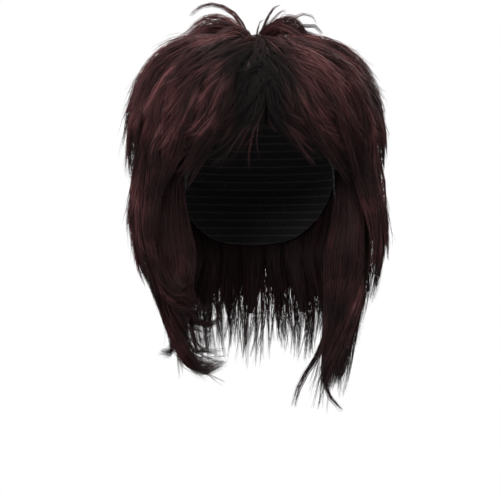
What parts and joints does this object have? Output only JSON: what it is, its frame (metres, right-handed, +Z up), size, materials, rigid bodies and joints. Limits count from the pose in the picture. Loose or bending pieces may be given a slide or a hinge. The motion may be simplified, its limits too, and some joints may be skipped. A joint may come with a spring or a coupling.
{
  "type": "shag wig",
  "caption": "Layered shag wig on a close cap: parted fringe, stacked layers of pointed locks, flicked ends at the neck and loose tufts at the crown.",
  "frame": {"origin": "where the crown of the head meets the inside of the cap", "axes": "+Z up out of the crown, -Y where the face looks, +X the wearer's left"},
  "size_m": [0.2399, 0.2375, 0.3711],
  "materials": {
    "hair_fibre": "smooth synthetic fibre, dark burgundy",
    "cap_net": "matte black net"
  },
  "bodies": {
    "root": {"wig_cap": "cap_net", "fringe": "hair_fibre", "crown_layer": "hair_fibre", "side_layer_left": "hair_fibre", "side_layer_right": "hair_fibre", "back_layer": "hair_fibre", "under_layer_left": "hair_fibre", "under_layer_right": "hair_fibre", "nape_layer": "hair_fibre", "crown_tuft_left": "hair_fibre", "crown_tuft_right": "hair_fibre"}
  },
  "joints": []
}
